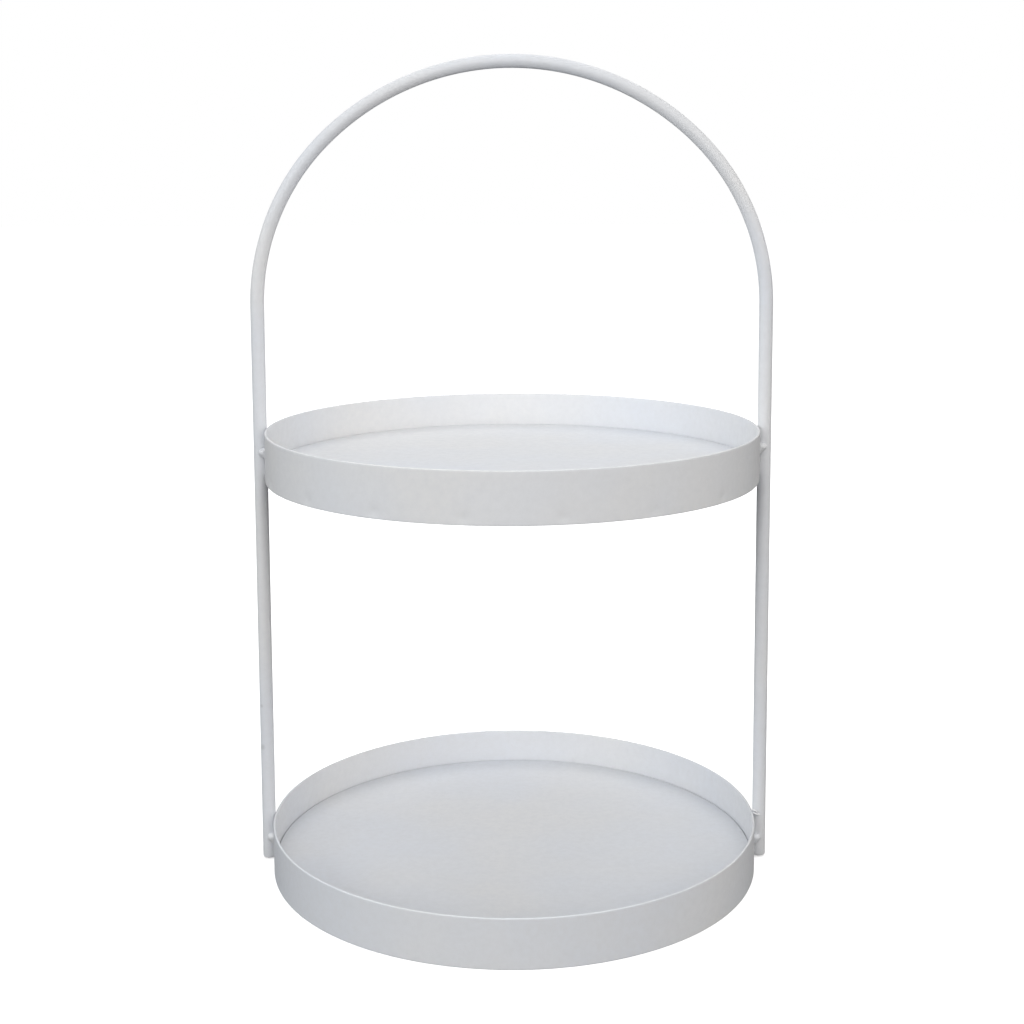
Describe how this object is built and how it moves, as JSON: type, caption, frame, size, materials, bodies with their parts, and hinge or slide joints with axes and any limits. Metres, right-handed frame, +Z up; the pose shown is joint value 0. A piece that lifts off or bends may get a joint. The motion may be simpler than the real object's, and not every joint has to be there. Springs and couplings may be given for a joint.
{
  "type": "tiered cake stand",
  "caption": "Free-standing tiered cake stand: shallow round metal trays, one above the other, held between the legs of a bent rod whose arch is the handle.",
  "frame": {"origin": "middle of the lower tray, on the surface that the stand rests on", "axes": "+Z up; the arch lies in the XZ plane, with the legs at -X and +X; -Y is the front"},
  "size_m": [0.3168, 0.3, 0.4986],
  "materials": {
    "frame_coat": "satin",
    "tray_coat": "satin",
    "weld_coat": "satin"
  },
  "bodies": {
    "root": {"arch_frame": "frame_coat", "lower_ring": "tray_coat", "lower_ring_seam": "weld_coat", "lower_floor": "tray_coat", "lower_floor_tacks": "weld_coat", "lower_leg_tacks": "weld_coat", "upper_ring": "tray_coat", "upper_ring_seam": "weld_coat", "upper_floor": "tray_coat", "upper_floor_tacks": "weld_coat", "upper_leg_tacks": "weld_coat"}
  },
  "joints": []
}
